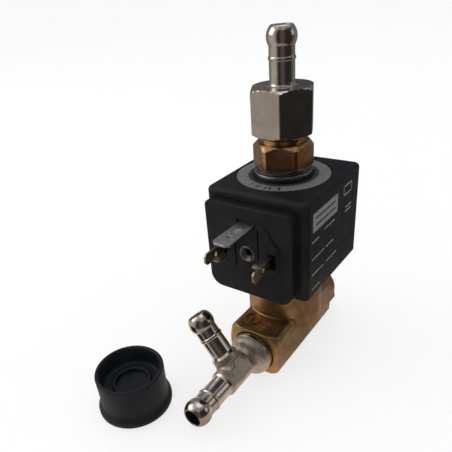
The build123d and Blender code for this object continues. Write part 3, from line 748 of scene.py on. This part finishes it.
def tablet(name, boxes, low, high, paint, replaces=(), slot=None, radius=0.12):
    """Flat boxes on the coil's +X face: each is (y, z, half y, half z)."""
    loops_all, faces_all, base = [], [], 0
    for y, z, a, b in boxes:
        ring = soften([(-a, -b, radius), (a, -b, radius), (a, b, radius), (-a, b, radius)], True, 20.0)
        ring = ring + np.array([y, z])
        size = len(ring)
        bottom = np.column_stack([np.full(size, low), ring])
        top = np.column_stack([np.full(size, high), ring])
        verts, faces = weave([bottom, top])
        faces.append(list(range(size))[::-1])
        faces.append(list(range(size, 2 * size)))
        loops_all.append(verts)
        faces_all += [[base + i for i in face] for face in faces]
        base += 2 * size
    return piece(name, np.concatenate(loops_all), faces_all, "coil", paint, replaces, slot)


PRINT = (FACE - 0.02, FACE + 0.035)
tablet(
    "rating_plate", [(-8.35, 62.1, 9.05, 3.2)], FACE - 0.02, FACE + 0.10,
    plate_foil, ["side_plate"], "plate_foil", 0.3,
)
tablet("plate_print", [(-8.35, z, 7.2, 0.32) for z in (60.9, 63.3)], FACE + 0.08, FACE + 0.13, plate_ink)


def dashes(y0, y1, z, seed):
    """A line of print made of plain dashes."""
    rng = np.random.default_rng(seed)
    out, y = [], y0
    while y < y1 - 0.5:
        half = rng.uniform(0.35, 0.85)
        out.append((y + half, z, half, 0.3))
        y += 2 * half + 0.5
    return out


lines = dashes(-17.5, -12.0, 55.6, 1) + dashes(-8.6, -0.5, 56.6, 2) + dashes(-17.5, -9.0, 49.3, 3)
lines += dashes(-7.2, -2.6, 49.3, 4) + dashes(-17.2, -8.6, 43.4, 5)
lines += dashes(-6.8, 2.0, 43.4, 6) + dashes(-17.0, -11.6, 37.8, 7)
tablet("side_print", lines, *PRINT, ink, radius=0.08)

# the two marks beside the plate are plain: an empty box above a pair of lines
marks = [(9.0, z, 3.4, 0.22) for z in (62.2, 65.4)]
marks += [(y, 63.8, 0.22, 1.82) for y in (5.82, 12.18)]
marks += [(10.1, z, 2.6, 0.22) for z in (55.6, 57.2)]
tablet("side_marks", marks, *PRINT, ink, radius=0.08)

# ---------------------------------------------------------------- connector


def earth_solid(x, y, z):
    """The flat earth blade: chamfered tip, dimple hole and four short ribs."""
    w = -y
    plan = np.maximum(rect(x, w - 29.6, 3.15, 9.4), (np.abs(x) - 3.15 + w - 39.0 + 1.15) * 0.7071)
    plan = np.maximum(plan, -tube(x, w - 33.8, 0.75))
    shape = prism(plan, z, 60.2, 61.0, 0.14)
    for k in range(4):
        rib = prism(rect(x - 0.2, w - 28.4 - 0.75 * k, 1.2 - 0.18 * k, 0.15, 0.1), z, 60.6, 61.07, 0.1)
        shape = union(shape, rib, 0.08)
    return shape


carved(
    "blade_earth", earth_solid, (-3.5, -39.4, 59.9), (3.5, -19.9, 61.4), 0.1, 0.2,
    "coil", blade_tin, ["earth_blade"], "tinned_blade",
)


def live_solid(side):
    """A live blade, folded over with a slit; the one on the other side is turned half round."""

    def solid(x, y, z):
        w, u = -y, side * x
        h = side * (z - CONTACT_Z) + 0.7
        web = np.maximum(rect(w - 28.7, h, 7.0, 2.0), (w - 35.7 + h - 2.0 + 0.9) * 0.7071)
        web = np.maximum(web, (w - 35.7 - h - 1.0 - 0.1) * 0.64)
        web = np.maximum(web, -tube(w - 30.3, h - 0.2, 0.85))
        shape = prism(web, u, 8.6, 9.4, 0.13)
        fold = np.maximum(rect(u - 7.9, w - 29.6, 1.5, 2.5, 0.5), -1.0)
        slit = rect(u - 7.2, w - 31.3, 0.9, 0.12)
        tab = prism(np.maximum(fold, -slit), h, 1.2, 2.0, 0.13)
        return union(shape, tab, 0.25)

    return solid


for side, name, low, high in (
    (1, "blade_live_right", (6.1, -36.1, 47.0), (9.7, -21.4, 52.0)),
    (-1, "blade_live_left", (-9.7, -36.1, 48.4), (-6.1, -21.4, 53.4)),
):
    stands_for = ["live_blades"] if side > 0 else ()
    carved(name, live_solid(side), low, high, 0.1, 0.2, "coil", blade_brass, stands_for, "brass_blade")

bush = [
    (1.25, 21.4),
    (2.95, 21.4),
    (2.95, 24.95, 0.3),
    (2.35, 24.95, 0.2),
    (1.6, 23.9, 0.1),
    (1.25, 23.4),
]
to_front = Matrix(((1, 0, 0, 0), (0, 0, -1, 0), (0, 1, 0, CONTACT_Z), (0, 0, 0, 1)))
lathe(
    "plug_bush", soften(bush, True), "coil", bush_metal, ["screw_bush"], "bush_steel",
    columns=96, matrix=to_front,
)

# ---------------------------------------------------------------- clamping stack

# heights at which each part of the stack stands
WASHER_Z, LOCK_Z, NUT_Z, SEAL_Z, ADAPTER_Z, TAIL_Z = 70.3, 71.4, 72.3, 82.3, 83.2, 98.2

flat = [(6.2, WASHER_Z), (9.85, WASHER_Z, 0.25), (9.85, LOCK_Z, 0.4), (6.2, LOCK_Z)]
lathe("washer_flat", soften(flat, True), "valve", washer_bright, ["flat_washer"], "washer_steel")
lock = [(8.3, LOCK_Z), (9.5, LOCK_Z, 0.25), (9.5, NUT_Z, 0.25), (8.3, NUT_Z)]
lathe("washer_spring", soften(lock, True), "valve", washer_dark, ["spring_washer"], "washer_dark")

nut = soften(
    [
        (6.05, NUT_Z),
        (9.1, NUT_Z, 0.1),
        (10.05, 73.3, 0.3),
        (10.05, 79.5, 0.3),
        (8.5, 81.0, 0.2),
        (7.1, 81.0, 0.25),
        (7.1, SEAL_Z, 0.2),
        (6.05, SEAL_Z),
    ],
    True,
)
verts, faces = hexed([tuple(p) for p in nut], 18.0, 22.0, 0.10)
piece("nut", verts, faces, "valve", turned_brass, ["coil_nut"], "nut_brass")

seal = [(6.1, SEAL_Z), (7.3, SEAL_Z), (7.3, ADAPTER_Z), (6.1, ADAPTER_Z)]
lathe("seal_ring", seal, "valve", elastomer, ["adapter_seal"], "elastomer")

# a hose tail's outside up to its bead, as (radius, height above its foot, rounding)
HOSE = [
    (4.5, 0.0),
    (4.0, 0.7, 0.6),
    (4.0, 7.25, 0.3),
    (4.27, 7.6, 0.25),
    (4.27, 8.15, 0.25),
    (4.0, 8.5, 0.3),
    (4.0, 11.4, 0.2),
]


def arc(start, middle, end, steps=22):
    """Points on the circle through three points, the first one left out."""
    (ax, ay), (bx, by), (cx, cy) = start, middle, end
    d = 2 * (ax * (by - cy) + bx * (cy - ay) + cx * (ay - by))
    a2, b2, c2 = ax * ax + ay * ay, bx * bx + by * by, cx * cx + cy * cy
    ux = (a2 * (by - cy) + b2 * (cy - ay) + c2 * (ay - by)) / d
    uy = (a2 * (cx - bx) + b2 * (ax - cx) + c2 * (bx - ax)) / d
    first, last = math.atan2(ay - uy, ax - ux), math.atan2(cy - uy, cx - ux)
    radius = math.hypot(ax - ux, ay - uy)
    turn = [first + (last - first) * k / steps for k in range(1, steps + 1)]
    return [(ux + radius * math.cos(t), uy + radius * math.sin(t)) for t in turn]


def hose(z, foot):
    """A hose tail's closed outline, standing on z, its bore running down to foot."""
    bead = arc((4.0, 11.4), (4.66, 14.2), (3.5, 16.85))
    points = HOSE + bead + [(3.3, 17.0, 0.1), (2.95, 16.9, 0.15), (TAIL_BORE, 16.3)]
    return soften([(r, h + z, *rest) for r, h, *rest in points] + [(TAIL_BORE, foot)], True, 6.0)


adapter = [(6.05, ADAPTER_Z), (9.3, ADAPTER_Z), (11.97, 84.8), (11.97, 96.78)]
adapter += [(9.6, TAIL_Z, 0.1), (5.2, TAIL_Z, 0.5), (4.6, 98.5), (6.05, 94.5)]
verts, faces = hexed([tuple(p) for p in soften(adapter, True)], 19.0, -5.5, 0.14)
piece("adapter_hex", verts, faces, "valve", nickel_hex, ["exhaust_adapter"], "nickel")
lathe("adapter_tail", hose(TAIL_Z, 94.5), "valve", nickel_tube, (), "nickel")

# ---------------------------------------------------------------- tee


def tee_solid(x, y, s):
    """The forged hub along its run s: dome, two flats with a raised pad each, collars and bores."""
    dome = [(0.0, 1.8), (7.9, 1.8), (7.9, 2.5), (7.55, 3.5), (6.8, 4.4)]
    dome += [(5.8, 5.1), (4.8, 5.6), (3.5, 5.9), (0.0, 5.9)]
    along = prism(tube(x, y, 4.75), s, 2.5, 17.2, 0.3)
    arm = prism(tube(y, s - HUB, 4.6), x, 0.0, 6.0, 0.3)
    hub = cut(union(along, arm, 1.5), 4.1 - np.abs(y), 0.1)
    shape = union(hub, polygon(dome, np.hypot(x, y), s) - 0.15, 1.5)
    pad = [(-2.0, 7.6), (1.9, 7.2), (2.1, 9.3), (4.2, 10.0)]
    pad += [(4.4, 13.5), (2.45, 14.3), (2.3, 16.9), (-2.0, 17.0)]
    rim = polygon(pad, x, s)
    shape = union(shape, prism(rim, np.abs(y), 3.8, 4.2, 0.08), 0.05)
    line = np.maximum(np.abs(rim - 0.12) - 0.13, np.maximum(3.85 - np.abs(y), -1.7 - x))
    shape = cut(shape, line, 0.05)
    shape = union(shape, prism(tube(x, y, 4.75), s, 16.9, 19.7, 0.35), 0.25)
    shape = union(shape, prism(tube(y, s - HUB, 4.75), x, 5.0, 7.4, 0.35), 0.25)
    shape = cut(shape, prism(tube(x, y, TAIL_BORE), s, -5.0, 30.0), 0.1)
    return cut(shape, prism(tube(y, s - HUB, TAIL_BORE), x, 0.0, 12.0), 0.1)


carved(
    "tee_hub", tee_solid, (-8.4, -8.4, 1.3), (8.4, 8.4, 20.1), 0.14, 0.32,
    "valve", nickel_forged, ["tee_fitting"], "nickel_forged", matrix=run,
)
THREAD_START, THREAD_R = -9.0, 6.54
stub = [(TAIL_BORE, -10.5), (5.5, -10.5), (THREAD_R, -9.6)]
stub += [(THREAD_R - 0.7 * (k % 2), THREAD_START + 0.67 * k) for k in range(13)]
stub += [(5.9, -0.4), (5.9, 0.1), (8.15, 0.1, 0.2), (8.15, 2.0, 0.35), (7.75, 2.5, 0.2), (TAIL_BORE, 2.5)]
lathe("tee_shoulder", soften(stub, True), "valve", nickel_run, (), "nickel_forged", matrix=run)
lathe("tee_tail_run", hose(HUB + 7.4, HUB + 7.0), "valve", nickel_run, (), "nickel_forged", matrix=run)
lathe("tee_tail_branch", hose(7.4, 7.0), "valve", nickel_branch, (), "nickel_forged", matrix=branch)

# ---------------------------------------------------------------- cap

CAP_X, CAP_Y = -27.4, -60.4
cap = [
    (0.0, 0.0),
    (12.3, 0.0, 0.4),
    (13.0, 0.8, 0.7),
    (13.0, 2.3, 0.7),
    (12.0, 3.3, 0.8),
    (11.7, 4.2, 0.6),
    (11.9, 15.4, 0.8),
    (11.5, 15.9, 0.5),
    (10.8, 15.9, 0.5),
    (10.4, 15.3, 0.6),
    (10.2, 9.0, 1.4),
    (6.75, 9.0, 0.4),
    (6.7, 10.3, 0.35),
    (5.7, 10.3, 0.35),
    (5.7, 8.4, 0.3),
    (0.0, 8.4),
]
verts, faces = spin(soften(cap))
verts = verts + np.array([CAP_X, CAP_Y, 0.0])
piece("cap", verts, faces, "cap", cap_rubber, ["protective_cap"], "cap_rubber")

# ---------------------------------------------------------------- carried-over CAD pieces

for node, paint in {
    "seat_insert": steel,
    "spigot_o_ring": elastomer,
    "lower_coil_seal": elastomer,
    "upper_coil_seal": elastomer,
    "fixed_core": steel,
    "shading_ring": copper,
    "plunger": steel,
    "inlet_seal": elastomer,
    "exhaust_seal": elastomer,
    "bobbin": nylon,
    "winding": copper,
    "flux_frame": washer_dark,
    "tee_seal": elastomer,
}.items():
    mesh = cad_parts[node].data
    mesh.materials.clear()
    mesh.materials.append(paint.made)

# ---------------------------------------------------------------- studio


def stage_mesh(name, verts, faces):
    """A mesh in metres that belongs to the studio."""
    mesh = bpy.data.meshes.new(name)
    mesh.from_pydata(verts, [], faces)
    mesh.shade_smooth()
    made = bpy.data.objects.new(name, mesh)
    bpy.context.scene.collection.objects.link(made)
    return made


def ramp(nodes, links, source, low, high, start, end):
    """Eases from start to end as source goes from low to high."""
    node = nodes.new("ShaderNodeMapRange")
    node.interpolation_type = "SMOOTHSTEP"
    for name, number in zip(("From Min", "From Max", "To Min", "To Max"), (low, high, start, end)):
        node.inputs[name].default_value = number
    links.new(source, node.inputs["Value"])
    return node.outputs["Result"]


def vector_maths(nodes, links, kind, source, other=(0, 0, 0)):
    node = nodes.new("ShaderNodeVectorMath")
    node.operation = kind
    links.new(source, node.inputs[0])
    node.inputs[1].default_value = other
    return node.outputs["Value" if kind in ("DOT_PRODUCT", "LENGTH") else "Vector"]


FLOOR_WHITE = 0.66

# what polished metal reflects: (bearing in degrees, where the glow starts, where it is full, colour)
FLOOR_GLOW = (
    (-140.0, 0.66, 0.98, (0.45, 0.40, 0.36)),
    (-56.0, 0.91, 0.99, (0.085, 0.052, 0.046)),
    (44.0, 0.90, 0.99, (0.10, 0.08, 0.06)),
    (82.0, 0.80, 0.97, (0.13, 0.15, 0.175)),
    (152.0, 0.74, 0.98, (0.19, 0.18, 0.17)),
)
ROOM_GLOW = (
    (-140.0, 0.60, 0.98, (0.36, 0.34, 0.325)),
    (-45.0, 0.93, 0.995, (0.14, 0.125, 0.115)),
    (58.0, 0.62, 0.96, (0.29, 0.25, 0.21)),
    (135.0, 0.50, 0.97, (0.27, 0.30, 0.345)),
)
OVERHEAD = (0.24, 0.235, 0.235)
# painted reflections: the floor glows round the valve and under it, seen only by reflecting metal
NEAR_VALVE_GLOW = (0.33, 0.28, 0.23)
UNDER_VALVE_GLOW = (0.32, 0.27, 0.22)
AMBIENT = (0.027, 0.0255, 0.0245)


def glow(nodes, links, place, overhead):
    """What polished metal sees of the room: a colour by bearing, and one near the object or overhead."""
    flat = vector_maths(nodes, links, "NORMALIZE", vector_maths(nodes, links, "MULTIPLY", place, (1, 1, 0)))
    parts = []
    for degrees, low, high, colour in ROOM_GLOW if overhead else FLOOR_GLOW:
        way = (math.cos(math.radians(degrees)), math.sin(math.radians(degrees)), 0)
        facing = vector_maths(nodes, links, "DOT_PRODUCT", flat, way)
        parts.append((ramp(nodes, links, facing, low, high, 0.0, 1.0), colour))
    if overhead:
        unit = vector_maths(nodes, links, "NORMALIZE", place)
        rise = vector_maths(nodes, links, "DOT_PRODUCT", unit, (0, 0, 1))
        parts.append((ramp(nodes, links, rise, 0.52, 0.90, 0.0, 1.0), OVERHEAD))
    else:
        # painted reflection: glow on the floor near the valve and under it, for glossy rays only
        from_valve = vector_maths(nodes, links, "ADD", place, (-0.005, 0.03, 0))
        away = vector_maths(nodes, links, "LENGTH", from_valve)
        parts.append((ramp(nodes, links, away, 0.040, 0.110, 1.0, 0.0), NEAR_VALVE_GLOW))
        parts.append((ramp(nodes, links, away, 0.006, 0.026, 1.0, 0.0), UNDER_VALVE_GLOW))
    total = None
    for share, colour in parts:
        tinted = nodes.new("ShaderNodeVectorMath")
        tinted.operation = "SCALE"
        tinted.inputs[0].default_value = colour
        links.new(share, tinted.inputs["Scale"])
        add = nodes.new("ShaderNodeVectorMath")
        add.operation = "ADD"
        links.new(tinted.outputs["Vector"], add.inputs[0])
        add.inputs[1].default_value = AMBIENT
        if total is not None:
            links.new(total, add.inputs[1])
        total = add.outputs["Vector"]
    return total


def studio():
    """A pale floor that runs up into a backdrop, soft lights, and a dim room for the metal to reflect.

    Floor and world are mixed by kind of ray: reflections see glow(), and the camera sees the floor partly
    as plain white, by FLOOR_WHITE.
    """
    arc_points = [(2.0 + 1.0 * math.sin(t), 1.0 - 1.0 * math.cos(t)) for t in np.linspace(0, math.pi / 2, 12)]
    profile = [(0.0, 0.0)] + arc_points + [(3.0, 3.0)]
    verts, faces = spin(profile, False, 64)
    floor = stage_mesh("floor", verts.tolist(), faces)
    floor.location.z = -0.0002
    made = bpy.data.materials.new("pale_floor")
    made.use_nodes = True
    nodes, links = made.node_tree.nodes, made.node_tree.links
    nodes.clear()
    out_node = nodes.new("ShaderNodeOutputMaterial")
    ray = nodes.new("ShaderNodeLightPath")
    pale, dim = nodes.new("ShaderNodeBsdfDiffuse"), nodes.new("ShaderNodeEmission")
    mix = nodes.new("ShaderNodeMixShader")
    pale.inputs["Color"].default_value = (0.93, 0.93, 0.93, 1)
    place = nodes.new("ShaderNodeTexCoord").outputs["Object"]
    links.new(glow(nodes, links, place, False), dim.inputs["Color"])
    white, seen = nodes.new("ShaderNodeEmission"), nodes.new("ShaderNodeMixShader")
    white.inputs["Strength"].default_value = 1.07
    share = nodes.new("ShaderNodeMath")
    share.operation = "MULTIPLY"
    share.inputs[1].default_value = FLOOR_WHITE
    links.new(ray.outputs["Is Camera Ray"], share.inputs[0])
    links.new(share.outputs["Value"], seen.inputs["Fac"])
    links.new(pale.outputs[0], seen.inputs[1])
    links.new(white.outputs[0], seen.inputs[2])
    links.new(ray.outputs["Is Glossy Ray"], mix.inputs["Fac"])
    links.new(seen.outputs[0], mix.inputs[1])
    links.new(dim.outputs[0], mix.inputs[2])
    links.new(mix.outputs[0], out_node.inputs["Surface"])
    floor.data.materials.append(made)

    def softbox(name, where, aim, size, power, colour=(1, 1, 1)):
        lamp = bpy.data.lights.new(name, "AREA")
        lamp.shape = "RECTANGLE"
        lamp.size, lamp.size_y = size
        lamp.energy = power
        lamp.color = colour
        made = bpy.data.objects.new(name, lamp)
        bpy.context.scene.collection.objects.link(made)
        away = np.array(where, float) - np.array(aim, float)
        away /= np.linalg.norm(away)
        side = np.cross((0, 0, 1), away)
        side /= np.linalg.norm(side)
        up = np.cross(away, side)
        made.matrix_world = Matrix([[side[k], up[k], away[k], where[k]] for k in range(3)] + [[0, 0, 0, 1]])

    softbox("key_left", (-0.85, -0.45, 0.60), (0, 0, 0.05), (0.8, 0.7), 2.6, (1.0, 0.98, 0.95))
    softbox("top", (0.05, 0.15, 1.1), (0, 0, 0.05), (0.7, 0.6), 0.9)
    softbox("rim_right", (0.8, 0.45, 0.35), (0, 0, 0.05), (0.4, 0.4), 0.25, (1.0, 0.97, 0.94))

    world = bpy.data.worlds.new("room")
    bpy.context.scene.world = world
    world.use_nodes = True
    nodes, links = world.node_tree.nodes, world.node_tree.links
    nodes.clear()
    out_node = nodes.new("ShaderNodeOutputWorld")
    ray = nodes.new("ShaderNodeLightPath")
    white, dim = nodes.new("ShaderNodeBackground"), nodes.new("ShaderNodeBackground")
    mix = nodes.new("ShaderNodeMixShader")
    white.inputs["Color"].default_value = (1, 1, 1, 1)
    place = nodes.new("ShaderNodeTexCoord").outputs["Generated"]
    links.new(glow(nodes, links, place, True), dim.inputs["Color"])
    unit = vector_maths(nodes, links, "NORMALIZE", place)
    rise = vector_maths(nodes, links, "DOT_PRODUCT", unit, (0, 0, 1))
    links.new(ramp(nodes, links, rise, 0.25, 0.90, 1.40, 0.75), white.inputs["Strength"])
    links.new(ray.outputs["Is Glossy Ray"], mix.inputs["Fac"])
    links.new(white.outputs[0], mix.inputs[1])
    links.new(dim.outputs[0], mix.inputs[2])
    links.new(mix.outputs[0], out_node.inputs["Surface"])
    bpy.context.scene.view_settings.view_transform = "Standard"


def camera():
    """The viewpoint: azimuth, elevation and roll in degrees, position in millimetres."""
    a, e, roll = math.radians(38.47), math.radians(30.53), math.radians(-5.47)
    ahead = np.array([-math.sin(a) * math.cos(e), math.cos(a) * math.cos(e), -math.sin(e)])
    right = np.array([math.cos(a), math.sin(a), 0.0])
    up = np.cross(right, ahead)
    side = math.cos(roll) * right + math.sin(roll) * up
    top = -math.sin(roll) * right + math.cos(roll) * up
    where = np.array([74.85, -133.96, 127.96]) * MM
    lens = bpy.data.cameras.new("camera")
    lens.lens = 37.42
    lens.sensor_width = 36.0
    lens.shift_x = 0.0164
    lens.shift_y = 0.0688
    lens.clip_start = 0.01
    lens.clip_end = 30.0
    made = bpy.data.objects.new("camera", lens)
    bpy.context.scene.collection.objects.link(made)
    made.matrix_world = Matrix([[side[k], top[k], -ahead[k], where[k]] for k in range(3)] + [[0, 0, 0, 1]])
    bpy.context.scene.camera = made


studio()
camera()
